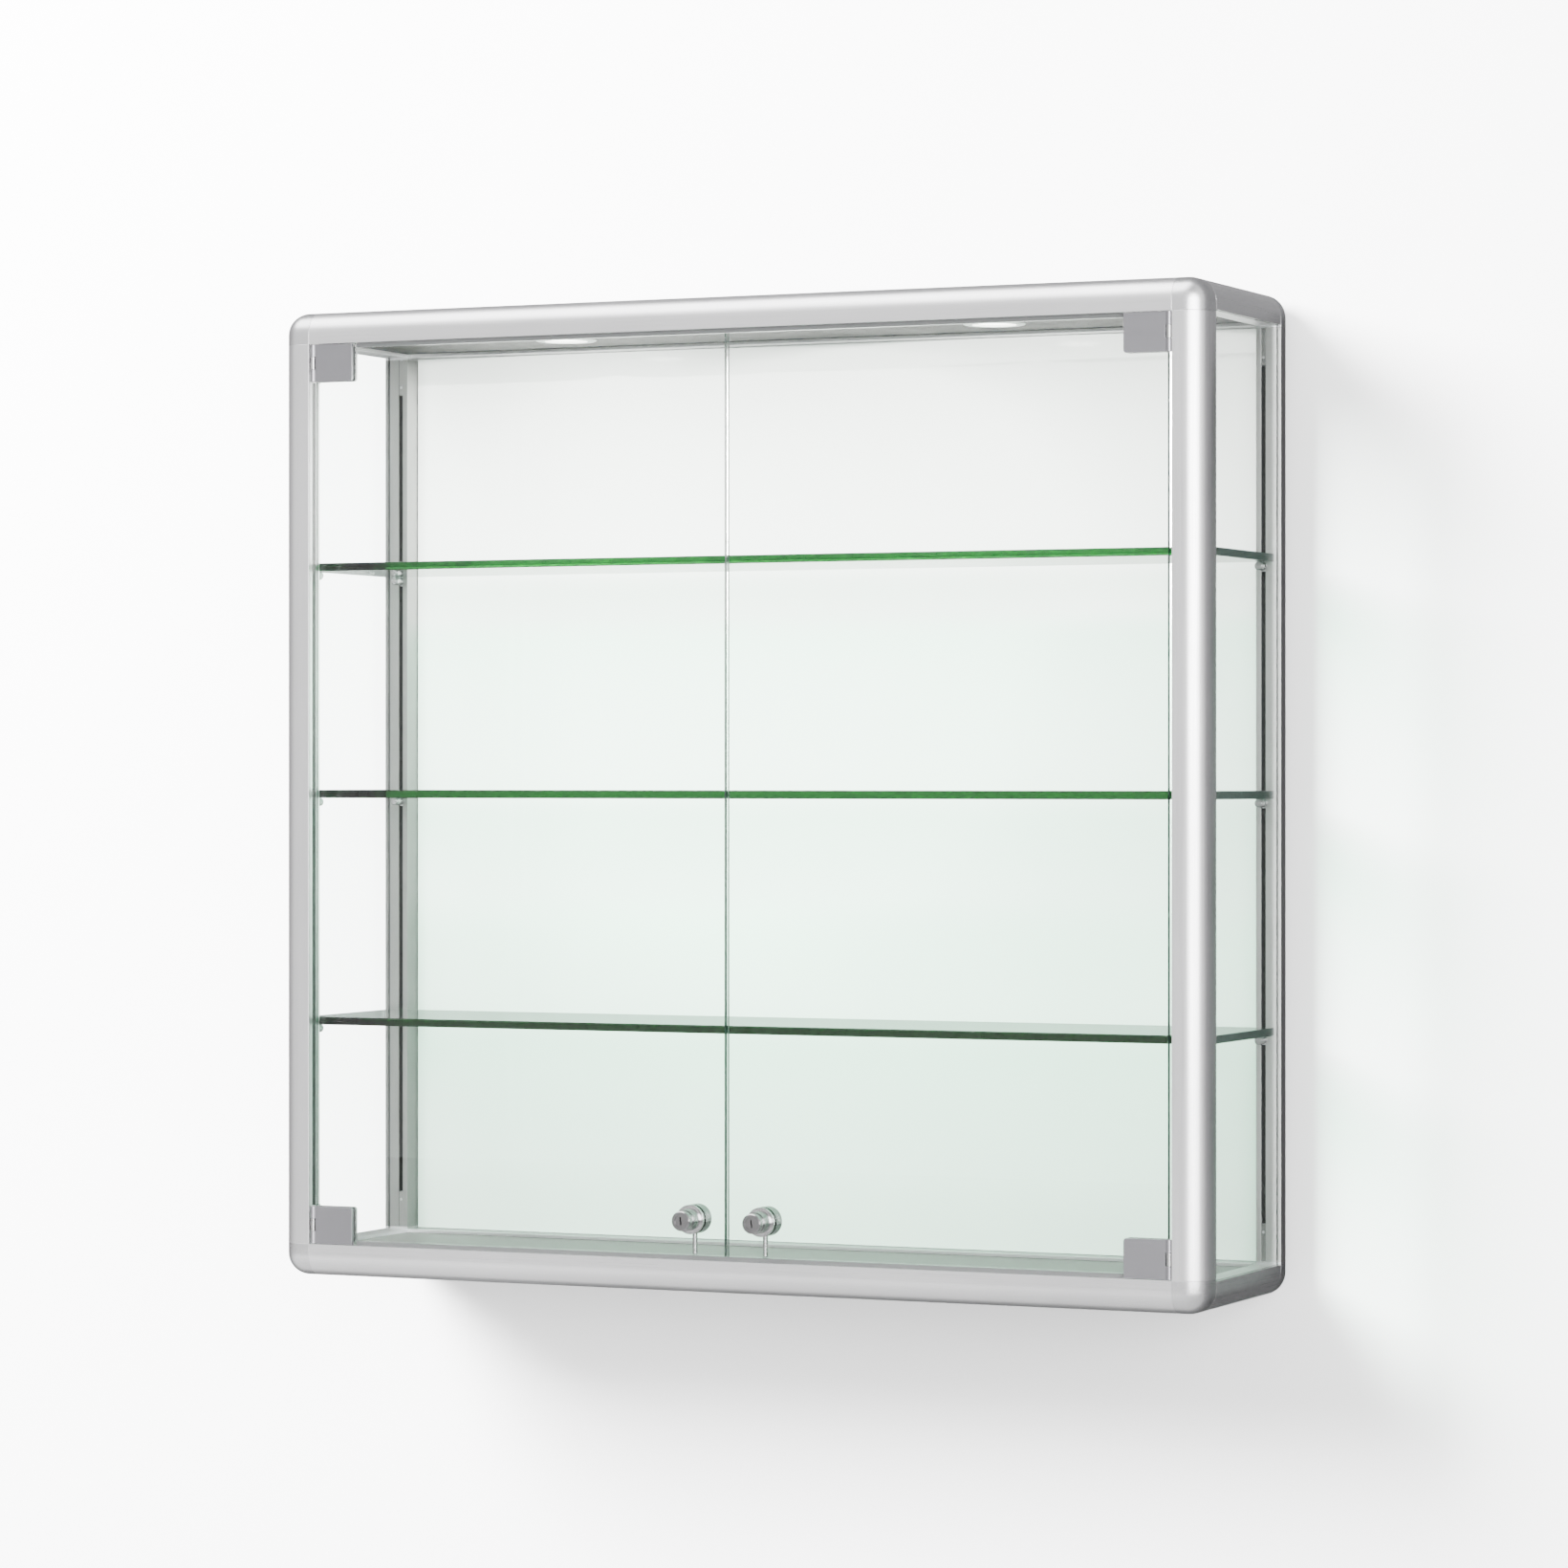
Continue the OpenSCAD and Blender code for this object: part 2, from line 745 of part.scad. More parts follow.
downlight_lenses();
led_modules();
led_driver();
cable_grommet();
door_glass(-1);  // door_glass_left
hinge_plates(-1);  // hinge_plates_left
clamp_plates(-1);  // clamp_plates_left
hinge_pads(-1);  // hinge_pads_left
clamp_screws(-1);  // clamp_screws_left
lock_body(-1);  // lock_body_left
lock_housing(-1);  // lock_housing_left
lock_core(-1);  // lock_core_left
lock_bolt(-1);  // lock_bolt_left
door_glass(1);  // door_glass_right
hinge_plates(1);  // hinge_plates_right
clamp_plates(1);  // clamp_plates_right
hinge_pads(1);  // hinge_pads_right
clamp_screws(1);  // clamp_screws_right
lock_body(1);  // lock_body_right
lock_housing(1);  // lock_housing_right
lock_core(1);  // lock_core_right
lock_bolt(1);  // lock_bolt_right
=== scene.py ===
"""Looks for the wall mounted showcase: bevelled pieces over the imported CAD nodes, materials, lights and
camera. Lengths are in metres, apart from those that are divided or multiplied by MM."""

import json
import math

import bmesh
import bpy
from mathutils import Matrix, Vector


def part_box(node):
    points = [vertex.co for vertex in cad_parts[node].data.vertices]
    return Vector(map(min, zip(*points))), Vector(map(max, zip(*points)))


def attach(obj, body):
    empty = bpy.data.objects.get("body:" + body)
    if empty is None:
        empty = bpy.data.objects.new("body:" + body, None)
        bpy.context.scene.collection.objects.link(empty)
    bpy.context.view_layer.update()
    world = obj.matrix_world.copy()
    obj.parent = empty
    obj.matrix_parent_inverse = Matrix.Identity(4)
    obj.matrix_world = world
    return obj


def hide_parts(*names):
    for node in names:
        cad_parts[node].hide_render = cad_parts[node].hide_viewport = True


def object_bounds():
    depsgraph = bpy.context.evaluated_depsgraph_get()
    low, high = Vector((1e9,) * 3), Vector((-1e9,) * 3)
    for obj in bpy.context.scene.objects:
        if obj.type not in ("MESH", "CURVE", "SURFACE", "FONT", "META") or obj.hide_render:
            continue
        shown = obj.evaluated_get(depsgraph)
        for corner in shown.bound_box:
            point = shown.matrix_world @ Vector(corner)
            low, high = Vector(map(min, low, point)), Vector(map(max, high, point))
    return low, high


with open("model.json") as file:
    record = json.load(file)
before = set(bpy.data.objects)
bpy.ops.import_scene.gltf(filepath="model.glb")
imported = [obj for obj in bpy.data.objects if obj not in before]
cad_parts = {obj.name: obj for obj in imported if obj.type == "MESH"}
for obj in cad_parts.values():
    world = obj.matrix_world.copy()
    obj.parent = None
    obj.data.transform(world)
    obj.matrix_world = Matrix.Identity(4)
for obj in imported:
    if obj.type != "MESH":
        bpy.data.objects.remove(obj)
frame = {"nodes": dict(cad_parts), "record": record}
CAD_LOW, CAD_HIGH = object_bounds()
NODES = frame["nodes"]
RECORD = frame["record"]
BODY_OF = {n: b for b, ns in RECORD["behaviour"]["bodies"].items() for n in ns}
PIECES = {}
SCENE = bpy.context.scene
MM = 0.001


# ---------------------------------------------------------------- node helpers

def new_material(name):
    m = bpy.data.materials.new(name)
    m.use_nodes = True
    tree = m.node_tree
    return m, tree, tree.nodes["Principled BSDF"]


def add(tree, kind, **values):
    n = tree.nodes.new(kind)
    for key, value in values.items():
        setattr(n, key, value)
    return n


def object_vector(tree, scale):
    coords = add(tree, "ShaderNodeTexCoord")
    mapping = add(tree, "ShaderNodeMapping")
    mapping.inputs["Scale"].default_value = scale
    tree.links.new(coords.outputs["Object"], mapping.inputs["Vector"])
    return mapping.outputs["Vector"]


def noise(tree, scale, detail=3.0, rough=0.5):
    """Noise in the showcase's frame; scale is a vector of cycles per metre."""
    n = add(tree, "ShaderNodeTexNoise")
    n.inputs["Scale"].default_value = 1.0
    n.inputs["Detail"].default_value = detail
    n.inputs["Roughness"].default_value = rough
    tree.links.new(object_vector(tree, scale), n.inputs["Vector"])
    return n.outputs["Fac"]


def ramp(tree, source, low, high, start=0.35, end=0.65):
    """Maps source from start..end to low..high."""
    n = add(tree, "ShaderNodeMapRange")
    n.inputs["From Min"].default_value = start
    n.inputs["From Max"].default_value = end
    n.inputs["To Min"].default_value = low
    n.inputs["To Max"].default_value = high
    tree.links.new(source, n.inputs["Value"])
    return n.outputs["Result"]


def blend_colour(tree, source, first, second, start=0.35, end=0.65):
    """Goes from the first colour to the second as source goes from start to end."""
    n = add(tree, "ShaderNodeMix", data_type="RGBA")
    tree.links.new(ramp(tree, source, 0.0, 1.0, start, end), n.inputs[0])
    n.inputs[6].default_value = (*first, 1.0)
    n.inputs[7].default_value = (*second, 1.0)
    return n.outputs[2]


def bump(tree, bsdf, height, distance, strength=1.0):
    n = add(tree, "ShaderNodeBump")
    n.inputs["Strength"].default_value = strength
    n.inputs["Distance"].default_value = distance
    tree.links.new(height, n.inputs["Height"])
    tree.links.new(n.outputs["Normal"], bsdf.inputs["Normal"])


def shade(colour, factor):
    return tuple(min(1.0, c * factor) for c in colour)


def after_bounce(tree):
    """0 for what the camera sees straight or through glass, 1 for what it sees by way of another surface.

    The back panel and the stage use it to light and mirror in the metal less than they show, because a
    studio picture keeps such light off the object.
    """
    path = add(tree, "ShaderNodeLightPath")
    bounces = add(tree, "ShaderNodeMath", operation="ADD", use_clamp=True)
    tree.links.new(path.outputs["Diffuse Depth"], bounces.inputs[0])
    tree.links.new(path.outputs["Glossy Depth"], bounces.inputs[1])
    return bounces.outputs[0]


# ---------------------------------------------------------------- materials

# Cycles of noise per metre: drawn metal has its grain along one axis, the rest is even
DRAWN_X = (6.0, 2600.0, 2600.0)
DRAWN_Y = (2600.0, 6.0, 2600.0)
DRAWN_Z = (2600.0, 2600.0, 6.0)
ROUGH_Z = (1500.0, 1500.0, 6.0)
BRUSHED_X = (15.0, 2400.0, 2400.0)
PITS = (1900.0, 1900.0, 1900.0)
POWDER = (1500.0, 1500.0, 1500.0)
FINE = (900.0, 900.0, 900.0)
SPANGLE = (700.0, 700.0, 700.0)
MOULDED = (600.0, 600.0, 600.0)
RIPPLE = (260.0, 260.0, 260.0)
METAL_CLOUDS = (9.0, 9.0, 9.0)
PAINT_CLOUDS = (5.0, 5.0, 5.0)


def metal(name, colour, roughness, grain, metallic=1.0, spread=0.06, depth=0.000006):
    """Metal with a fine grain: cloudy colour, roughness that varies, and shallow lines or pits."""
    m, tree, bsdf = new_material(name)
    bsdf.inputs["Metallic"].default_value = metallic
    cloud = noise(tree, METAL_CLOUDS, 4.0, 0.6)
    tree.links.new(blend_colour(tree, cloud, shade(colour, 0.965), shade(colour, 1.02)),
                   bsdf.inputs["Base Color"])
    fine = noise(tree, grain, 5.0, 0.6)
    tree.links.new(ramp(tree, fine, roughness - spread, roughness + spread), bsdf.inputs["Roughness"])
    bump(tree, bsdf, fine, depth)
    return m


def coated(name, colour, roughness, grain, depth, coat=0.0, specular=0.5, echo=1.0):
    """Paint or plastic: even colour with faint clouds, and a skin with a little texture.

    echo is the share of the colour that lights and mirrors in other pieces.
    """
    m, tree, bsdf = new_material(name)
    bsdf.inputs["Specular IOR Level"].default_value = specular
    bsdf.inputs["Coat Weight"].default_value = coat
    bsdf.inputs["Coat Roughness"].default_value = 0.04
    cloud = noise(tree, PAINT_CLOUDS, 4.0, 0.55)
    seen = blend_colour(tree, cloud, shade(colour, 0.975), shade(colour, 1.01))
    if echo < 1.0:
        softer = add(tree, "ShaderNodeMix", data_type="RGBA")
        tree.links.new(after_bounce(tree), softer.inputs[0])
        tree.links.new(seen, softer.inputs[6])
        softer.inputs[7].default_value = (*shade(colour, echo), 1.0)
        seen = softer.outputs[2]
    tree.links.new(seen, bsdf.inputs["Base Color"])
    fine = noise(tree, grain, 3.0, 0.5)
    tree.links.new(ramp(tree, fine, roughness - 0.03, roughness + 0.04), bsdf.inputs["Roughness"])
    bump(tree, bsdf, fine, depth)
    return m


def glass(name, density, colour, pass_colour, sheen=0.36):
    """Clear glass with a tint that grows with the path inside it.

    Shadow and diffuse rays see a plain pass_colour instead, so that lamps light what stands behind it.
    sheen is the share of its mirror reflection that is kept.
    """
    m, tree, bsdf = new_material(name)
    bsdf.inputs["Base Color"].default_value = (1.0, 1.0, 1.0, 1.0)
    bsdf.inputs["Transmission Weight"].default_value = 1.0
    bsdf.inputs["IOR"].default_value = 1.5
    bsdf.inputs["Roughness"].default_value = 0.0
    bsdf.inputs["Specular Tint"].default_value = (sheen, sheen, sheen, 1.0)
    clear = add(tree, "ShaderNodeBsdfTransparent")
    clear.inputs["Color"].default_value = (*pass_colour, 1.0)
    path = add(tree, "ShaderNodeLightPath")
    either = add(tree, "ShaderNodeMath", operation="MAXIMUM")
    tree.links.new(path.outputs["Is Shadow Ray"], either.inputs[0])
    tree.links.new(path.outputs["Is Diffuse Ray"], either.inputs[1])
    mix = add(tree, "ShaderNodeMixShader")
    tree.links.new(either.outputs[0], mix.inputs[0])
    tree.links.new(bsdf.outputs[0], mix.inputs[1])
    tree.links.new(clear.outputs[0], mix.inputs[2])
    out = tree.nodes["Material Output"]
    tree.links.new(mix.outputs[0], out.inputs["Surface"])
    volume = add(tree, "ShaderNodeVolumeAbsorption")
    volume.inputs["Color"].default_value = (*colour, 1.0)
    volume.inputs["Density"].default_value = density
    tree.links.new(volume.outputs[0], out.inputs["Volume"])
    return m


def glowing(name, colour, strength, roughness=0.5):
    """A lit surface with a fine speckle."""
    m, tree, bsdf = new_material(name)
    fine = noise(tree, FINE, 2.0)
    tree.links.new(blend_colour(tree, fine, shade(colour, 0.96), colour), bsdf.inputs["Base Color"])
    bsdf.inputs["Roughness"].default_value = roughness
    bsdf.inputs["Emission Color"].default_value = (*colour, 1.0)
    bsdf.inputs["Emission Strength"].default_value = strength
    return m


SILVER = (0.78, 0.775, 0.785)

MATERIALS = {
    # Anodised aluminium
    "satin_z": metal("anodised_upright", SILVER, 0.33, DRAWN_Z),
    "satin_x": metal("anodised_crosswise", SILVER, 0.33, DRAWN_X),
    "satin_y": metal("anodised_sidewise", SILVER, 0.33, DRAWN_Y),
    "casting": metal("cast_corner", (0.66, 0.66, 0.67), 0.30, PITS, spread=0.07, depth=0.00002),
    # Darker copies of the same anodised aluminium, as painted shade: the lighter one for the rear right
    # post, the darker one for the rear left post and the slot fillers
    "half_shaded_z": metal("anodised_half_shaded_upright", (0.52, 0.522, 0.515), 0.36, DRAWN_Z),
    "shaded_z": metal("anodised_shaded_upright", (0.28, 0.284, 0.276), 0.36, DRAWN_Z),
    "cavity": metal("shaded_cavity", (0.02, 0.021, 0.02), 0.6, ROUGH_Z, metallic=0.3),
    # Fittings
    "steel": metal("satin_steel", (0.38, 0.378, 0.38), 0.24, BRUSHED_X),
    "plate": metal("hinge_plate_steel", (0.29, 0.285, 0.305), 0.36, BRUSHED_X),
    "zinc": metal("zinc_plate", (0.60, 0.61, 0.62), 0.38, SPANGLE, depth=0.00001),
    "nickel": metal("bright_nickel", (0.31, 0.305, 0.31), 0.15, FINE, spread=0.03, depth=0.000002),
    # A lighter copy of the lock's nickel, painted as highlight on the flange
    "flange": metal("lock_flange_painted_highlight", (0.66, 0.655, 0.66), 0.12, FINE, spread=0.03, depth=0.000002),
    # Panels, seals and lamps
    "white": coated("white_gloss_panel", (0.70, 0.72, 0.708), 0.09, RIPPLE, 0.000004,
                    coat=0.35, echo=0.40),
    "grey": coated("grey_floor_panel", (0.22, 0.212, 0.21), 0.38, FINE, 0.00003, specular=0.3),
    "ceiling": coated("grey_ceiling_panel", (0.018, 0.020, 0.018), 0.5, FINE, 0.00003, specular=0.05),
    "seal": coated("grey_seal", (0.13, 0.135, 0.135), 0.55, POWDER, 0.00004, specular=0.35),
    # Dark rubber of the pads, gaskets and grommet, also used as painted shade beside the doors
    "rubber_and_painted_shade": coated("dark_rubber", (0.045, 0.047, 0.047), 0.62, POWDER, 0.00004, specular=0.35),
    "lamp_trim": coated("lamp_trim", (0.84, 0.84, 0.83), 0.30, FINE, 0.00001),
    "driver": coated("driver_case", (0.82, 0.82, 0.81), 0.45, MOULDED, 0.00003),
    "lens": glowing("lamp_lens", (1.0, 0.985, 0.94), 14.0, 0.35),
    "board": glowing("lamp_board", (0.95, 0.90, 0.60), 2.0),
    # Glass, and the shade painted near black on its edges
    "pane": glass("pane_glass", 8.0, (0.30, 0.75, 0.50), (0.97, 0.985, 0.975)),
    "shelf": glass("shelf_glass", 58.0, (0.20, 0.64, 0.42), (0.93, 0.97, 0.95)),
    "edge": coated("ground_glass_edge", (0.012, 0.032, 0.024), 0.3, FINE, 0.00001, specular=0.25),
}


# ---------------------------------------------------------------- pieces

def clean_copy(node):
    """The node's mesh with flat faces joined, as plain vertices and faces."""
    bm = bmesh.new()
    bm.from_mesh(NODES[node].data)
    bmesh.ops.remove_doubles(bm, verts=bm.verts, dist=1e-6)
    bmesh.ops.dissolve_limit(bm, angle_limit=math.radians(0.6), verts=bm.verts, edges=bm.edges)
    bm.verts.index_update()
    mesh = bpy.data.meshes.new(node + "_mesh")
    mesh.from_pydata([v.co[:] for v in bm.verts], [],
                     [[v.index for v in f.verts] for f in bm.faces])
    bm.free()
    mesh.update()
    return mesh


SHARP_ANGLE = 28.0


def dressed(node, material, width=0.3, segments=2):
    """A bevelled, smooth shaded piece in place of a CAD node. width is the bevel's, in millimetres."""
    mesh = clean_copy(node)
    mesh.materials.append(MATERIALS[material])
    mesh.polygons.foreach_set("use_smooth", [True] * len(mesh.polygons))
    piece = bpy.data.objects.new(node + "_piece", mesh)
    SCENE.collection.objects.link(piece)
    soften = piece.modifiers.new("soften", "BEVEL")
    soften.width = width * MM
    soften.segments = segments
    soften.limit_method = "ANGLE"
    soften.angle_limit = math.radians(SHARP_ANGLE)
    soften.harden_normals = True
    soften.miter_outer = "MITER_ARC"
    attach(piece, BODY_OF[node])
    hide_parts(node)
    PIECES[node] = piece
    return piece


def paint(node, material, chosen):
    """Gives the faces for which chosen(centre, normal) is true another material.

    Centres are in millimetres.
    """
    mesh = PIECES[node].data
    mesh.materials.append(MATERIALS[material])
    for face in mesh.polygons:
        if chosen(face.center / MM, face.normal):
            face.material_index = len(mesh.materials) - 1


def split(node, place, normal):
    """Cuts the piece's faces along a plane, so that each part can be painted.

    The shape stays the same. place is in millimetres.
    """
    mesh = PIECES[node].data
    bm = bmesh.new()
    bm.from_mesh(mesh)
    bmesh.ops.bisect_plane(bm, geom=bm.verts[:] + bm.edges[:] + bm.faces[:],
                           plane_co=Vector(place) * MM, plane_no=normal)
    bm.to_mesh(mesh)
    bm.free()


for side in ("left", "right"):
    dressed("post_front_" + side, "satin_z", 0.35)
    # The rear posts take the darker copies of the aluminium as painted shade
    dressed("post_rear_" + side, "shaded_z" if side == "left" else "half_shaded_z", 0.35)
    dressed("rail_top_" + side, "satin_y", 0.35)
    dressed("rail_bottom_" + side, "satin_y", 0.35)
    dressed("corners_front_" + side, "casting", 0.30)
    dressed("corners_rear_" + side, "casting", 0.30)
    dressed("side_glass_" + side, "pane", 0.4)
    dressed("door_glass_" + side, "pane", 0.5)
    dressed("hinge_plates_" + side, "plate", 0.35)
    dressed("clamp_plates_" + side, "steel", 0.35)
    dressed("hinge_pads_" + side, "rubber_and_painted_shade", 0.05, 1)
    dressed("clamp_screws_" + side, "zinc", 0.12)
    dressed("lock_body_" + side, "nickel", 0.45, 3)
    dressed("lock_housing_" + side, "nickel", 0.40, 3)
    dressed("lock_core_" + side, "nickel", 0.15)
    dressed("lock_bolt_" + side, "steel", 0.20)
for level in ("top", "bottom"):
    dressed("rail_" + level + "_front", "satin_x", 0.35)
    dressed("rail_" + level + "_rear", "satin_x", 0.35)
for level in ("upper", "middle", "lower"):
    dressed("shelf_" + level, "shelf", 0.8)
dressed("back_panel", "white", 0.3)
dressed("floor_panel", "grey", 0.3)
dressed("ceiling_panel", "ceiling", 0.3)
dressed("top_cover", "satin_x", 0.3)
dressed("glass_gaskets", "rubber_and_painted_shade", 0.1, 1)
dressed("shelf_pegs", "steel", 0.25)
dressed("peg_nuts", "zinc", 0.3)
# Painted shade: the slot fillers take the darkest copy of the aluminium
dressed("slot_fillers", "shaded_z", 0.2)
dressed("frame_screws", "zinc", 0.15)
dressed("door_seals", "seal", 0.4)
dressed("wall_plates", "zinc", 0.3)
dressed("bolt_sockets", "zinc", 0.25)
dressed("hinge_leaves", "steel", 0.25)
dressed("hinge_pins", "zinc", 0.2)
dressed("downlight_housings", "lamp_trim", 0.35)
dressed("downlight_lenses", "lens", 0.3)
dressed("led_modules", "board", 0.3)
dressed("led_driver", "driver", 0.8)
dressed("cable_grommet", "rubber_and_painted_shade", 0.4)

# Places for the paint, in millimetres
HALF_WIDTH = CAD_HIGH.x / MM
POST_DEPTH = -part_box("post_rear_left")[0].y / MM
GLASS_FRONT, GLASS_BACK = (corner.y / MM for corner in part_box("door_glass_left"))
# The slot of a rear post, from its outer side and from its rear skin
CAVITY_IN, CAVITY_OUT, CAVITY_DEPTH = 16.0, 25.5, 24.3
# The side of a front post that faces its door, from the slot to the lip, and how far back the painted
# shade on it reaches
LIP_INSIDE = 31.0
SHADE_BACK = GLASS_BACK + 11.0
# How far the lock's flange, with the foot of its barrel, reaches in front of the glass
FLANGE_REACH = 5.5
# A face counts as square to an axis past this share of its normal
SQUARE = 0.9


def in_rear_cavity(c, n):
    return CAVITY_IN < HALF_WIDTH - abs(c.x) < CAVITY_OUT and CAVITY_DEPTH < -c.y < POST_DEPTH - 0.05


def painted_shade_beside_door(c, n):
    return (c.x * n.x < 0 and abs(n.x) > SQUARE and c.y < SHADE_BACK
            and CAVITY_OUT < HALF_WIDTH - abs(c.x) < LIP_INSIDE)


def upright_edge(c, n):
    return abs(n.x) > SQUARE and abs(c.z) < 1.0


def side_edge(c, n):
    return abs(n.x) > SQUARE


def on_flange(c, n):
    return c.y > GLASS_FRONT - FLANGE_REACH


for side in ("left", "right"):
    # Painted shade: the faces inside the slot of each rear post are painted near black
    paint("post_rear_" + side, "cavity", in_rear_cavity)
    # Painted shade on the side of each front post beside its door: those faces are split off and take the
    # dark rubber colour
    split("post_front_" + side, (0.0, SHADE_BACK, 0.0), (0.0, 1.0, 0.0))
    paint("post_front_" + side, "rubber_and_painted_shade", painted_shade_beside_door)
    # Painted shade: the upright edges of each door's glass are painted near black
    paint("door_glass_" + side, "edge", upright_edge)
    # Painted highlight: the lock body's flange in front of the glass takes the lighter copy of the nickel
    paint("lock_body_" + side, "flange", on_flange)
for level in ("upper", "middle", "lower"):
    # Painted shade: the side edges of each shelf are painted near black
    paint("shelf_" + level, "edge", side_edge)


# ---------------------------------------------------------------- stage and lights

def plane(name, corners, material):
    mesh = bpy.data.meshes.new(name)
    mesh.from_pydata(corners, [], [[0, 1, 2, 3]])
    mesh.materials.append(material)
    piece = bpy.data.objects.new(name, mesh)
    SCENE.collection.objects.link(piece)
    return piece


# A ray that meets the wall sooner than this comes from the back of the showcase
TOUCHING = 0.012


def stage_material(name, colour, reflected, one_sided):
    """Matt paint that the object sees darker than the camera does, so that it doesn't flood the metal.

    A one sided one is clear from behind, and to what touches it, so that a view from the rear shows the
    back of the showcase lit.
    """
    m, tree, bsdf = new_material(name)
    bsdf.inputs["Roughness"].default_value = 0.9
    bsdf.inputs["Specular IOR Level"].default_value = 0.1
    tree.links.new(blend_colour(tree, after_bounce(tree), colour, reflected, 0.0, 1.0),
                   bsdf.inputs["Base Color"])
    if one_sided:
        clear = add(tree, "ShaderNodeBsdfTransparent")
        geometry = add(tree, "ShaderNodeNewGeometry")
        path = add(tree, "ShaderNodeLightPath")
        near = add(tree, "ShaderNodeMath", operation="LESS_THAN")
        near.inputs[1].default_value = TOUCHING
        tree.links.new(path.outputs["Ray Length"], near.inputs[0])
        either = add(tree, "ShaderNodeMath", operation="MAXIMUM")
        tree.links.new(geometry.outputs["Backfacing"], either.inputs[0])
        tree.links.new(near.outputs[0], either.inputs[1])
        mix = add(tree, "ShaderNodeMixShader")
        tree.links.new(either.outputs[0], mix.inputs[0])
        tree.links.new(bsdf.outputs[0], mix.inputs[1])
        tree.links.new(clear.outputs[0], mix.inputs[2])
        tree.links.new(mix.outputs[0], tree.nodes["Material Output"].inputs["Surface"])
    return m


FLOOR_Z = -1.35
WALL_Y = 0.0015
WALL = plane("stage_wall",
             [(-6, WALL_Y, FLOOR_Z), (6, WALL_Y, FLOOR_Z), (6, WALL_Y, 4), (-6, WALL_Y, 4)],
             stage_material("stage_wall", (0.92, 0.92, 0.923), (0.036, 0.036, 0.037), True))
FLOOR = plane("stage_floor",
              [(-12, -12, FLOOR_Z), (12, -12, FLOOR_Z), (12, 12, FLOOR_Z), (-12, 12, FLOOR_Z)],
              stage_material("stage_floor", (0.80, 0.80, 0.80), (0.15, 0.15, 0.15), False))


def area_light(name, place, target, size, power, receivers=()):
    """A soft rectangular lamp. With receivers, it lights only those pieces, and all pieces shade it."""
    data = bpy.data.lights.new(name, "AREA")
    data.shape = "RECTANGLE"
    data.size, data.size_y = size
    data.energy = power
    lamp = bpy.data.objects.new(name, data)
    lamp.location = place
    lamp.rotation_euler = (Vector(target) - Vector(place)).to_track_quat("-Z", "Y").to_euler()
    lamp.visible_camera = False
    lamp.visible_glossy = not receivers
    SCENE.collection.objects.link(lamp)
    if receivers:
        group = bpy.data.collections.new(name + "_receivers")
        for piece in receivers:
            group.objects.link(piece)
        lamp.light_linking.receiver_collection = group
    return lamp


area_light("wall_wash", (-3.0, -3.3, 2.5), (0.1, 0, -0.1), (2.6, 2.6), 3200, [WALL, FLOOR])
area_light("panel_wash", (-0.7, -1.2, 0.8), (-0.2, 0, 0.2), (0.9, 0.9), 90, [PIECES["back_panel"]])


# The light that the two recessed lamps throw on the back panel
HOUSING_LOW, HOUSING_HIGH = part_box("downlight_housings")
LENS_LOW, LENS_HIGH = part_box("downlight_lenses")
LAMP_X = LENS_HIGH.x - (LENS_HIGH.y - LENS_LOW.y) / 2
LAMP_Y = (HOUSING_LOW.y + HOUSING_HIGH.y) / 2
LAMP_Z = HOUSING_LOW.z - 0.002
LAMP_RECEIVERS = bpy.data.collections.new("downlight_receivers")
LAMP_RECEIVERS.objects.link(PIECES["back_panel"])

for lamp_x in (-LAMP_X, LAMP_X):
    lamp_data = bpy.data.lights.new("downlight", "AREA")
    lamp_data.shape = "DISK"
    lamp_data.size = 0.04
    lamp_data.energy = 130.0
    lamp_data.color = (1.0, 0.99, 0.96)
    downlight = bpy.data.objects.new("downlight", lamp_data)
    downlight.location = (lamp_x, LAMP_Y, LAMP_Z)
    SCENE.collection.objects.link(downlight)
    downlight.light_linking.receiver_collection = LAMP_RECEIVERS


# ---------------------------------------------------------------- world

world = bpy.data.worlds.new("studio")
SCENE.world = world
world.use_nodes = True
WORLD_TREE = world.node_tree
WORLD_DIRECTION = add(WORLD_TREE, "ShaderNodeTexCoord").outputs["Generated"]


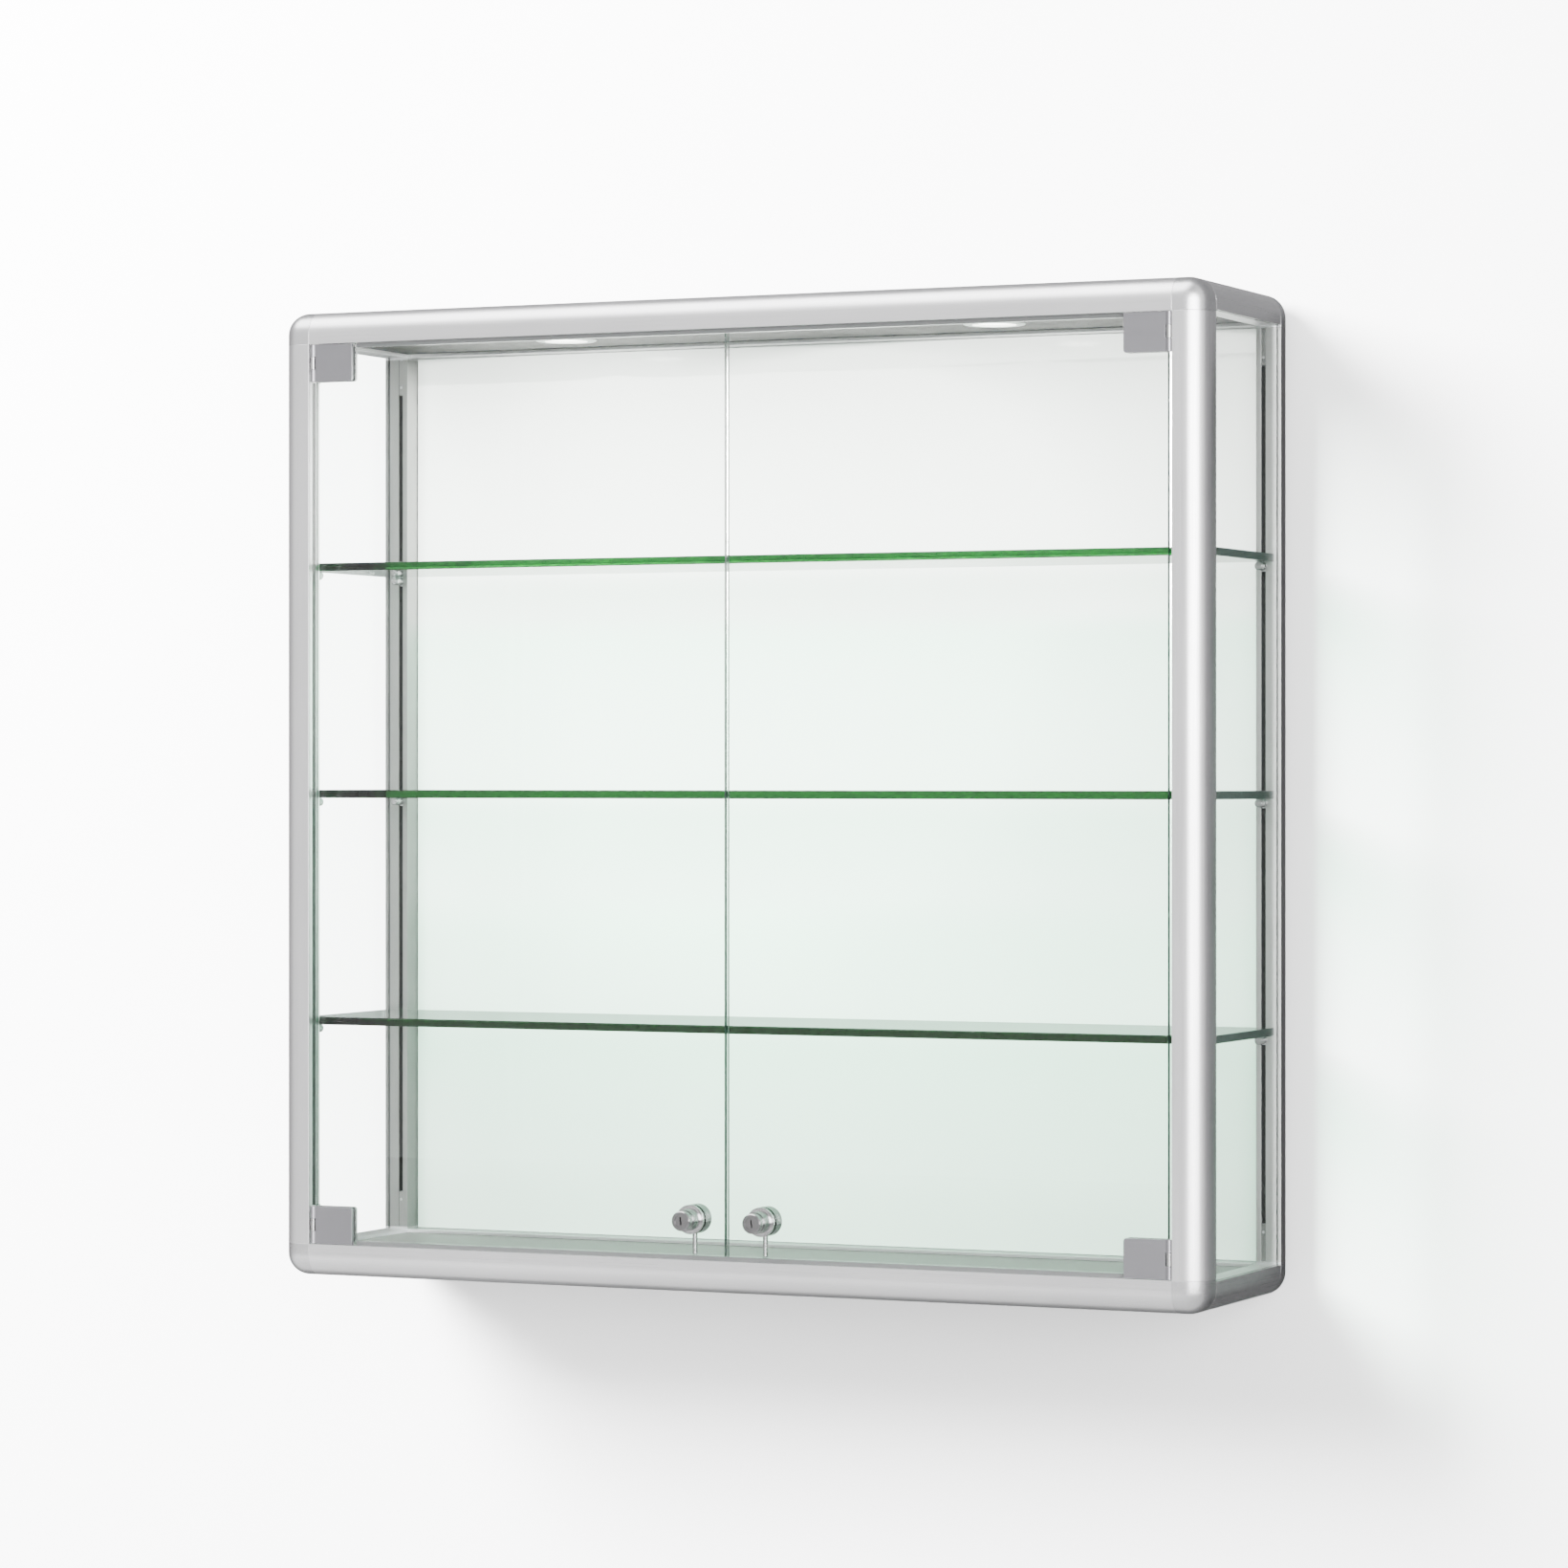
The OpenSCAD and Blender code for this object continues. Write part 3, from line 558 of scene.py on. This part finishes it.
def lobe(azimuth, elevation, inner, outer, strength):
    """Light from round one direction: full inside the inner angle and none past the outer one.

    Angles are in degrees. Azimuth 0 is in front of the showcase and 90 to its right.
    """
    a, e = math.radians(azimuth), math.radians(elevation)
    dot = add(WORLD_TREE, "ShaderNodeVectorMath", operation="DOT_PRODUCT")
    WORLD_TREE.links.new(WORLD_DIRECTION, dot.inputs[0])
    dot.inputs[1].default_value = (math.sin(a) * math.cos(e), -math.cos(a) * math.cos(e), math.sin(e))
    n = add(WORLD_TREE, "ShaderNodeMapRange", interpolation_type="SMOOTHSTEP")
    n.inputs["From Min"].default_value = math.cos(math.radians(outer))
    n.inputs["From Max"].default_value = math.cos(math.radians(inner))
    n.inputs["To Max"].default_value = strength
    WORLD_TREE.links.new(dot.outputs["Value"], n.inputs["Value"])
    return n.outputs["Result"]


def total(values):
    result = values[0]
    for value in values[1:]:
        n = add(WORLD_TREE, "ShaderNodeMath", operation="ADD")
        WORLD_TREE.links.new(result, n.inputs[0])
        WORLD_TREE.links.new(value, n.inputs[1])
        result = n.outputs[0]
    return result


BASE = add(WORLD_TREE, "ShaderNodeValue")
BASE.outputs[0].default_value = 0.2
WORLD_TREE.nodes["Background"].inputs["Color"].default_value = (1.0, 1.0, 1.0, 1.0)
WORLD_TREE.links.new(total([
    BASE.outputs[0],
    lobe(-25, 0, 34, 76, 1.25),   # the room that the flat fronts mirror
    lobe(37, 0, 13, 32, 17.0),    # the streak down the right post
    lobe(90, 0, 34, 92, 1.1),     # the right sides
    lobe(-64, 62, 13, 40, 7.8),   # the streak along the top rail
    lobe(180, 30, 30, 100, 0.9),  # the rear
]), WORLD_TREE.nodes["Background"].inputs["Strength"])


# ---------------------------------------------------------------- camera

# The photo's place, turn, lens and vertical shift
VIEW_PLACE = (2.1723, -4.8684, 0.01894)
VIEW_YAW = math.radians(24.536)
VIEW_LENS = 119.4
VIEW_SHIFT = -0.00545
camera_data = bpy.data.cameras.new("camera")
camera_data.sensor_width = 36.0
camera_data.lens = VIEW_LENS
camera_data.shift_y = VIEW_SHIFT
camera_data.clip_end = 50.0
camera = bpy.data.objects.new("camera", camera_data)
camera.location = VIEW_PLACE
camera.rotation_euler = (math.pi / 2, 0.0, VIEW_YAW)
SCENE.collection.objects.link(camera)
SCENE.camera = camera
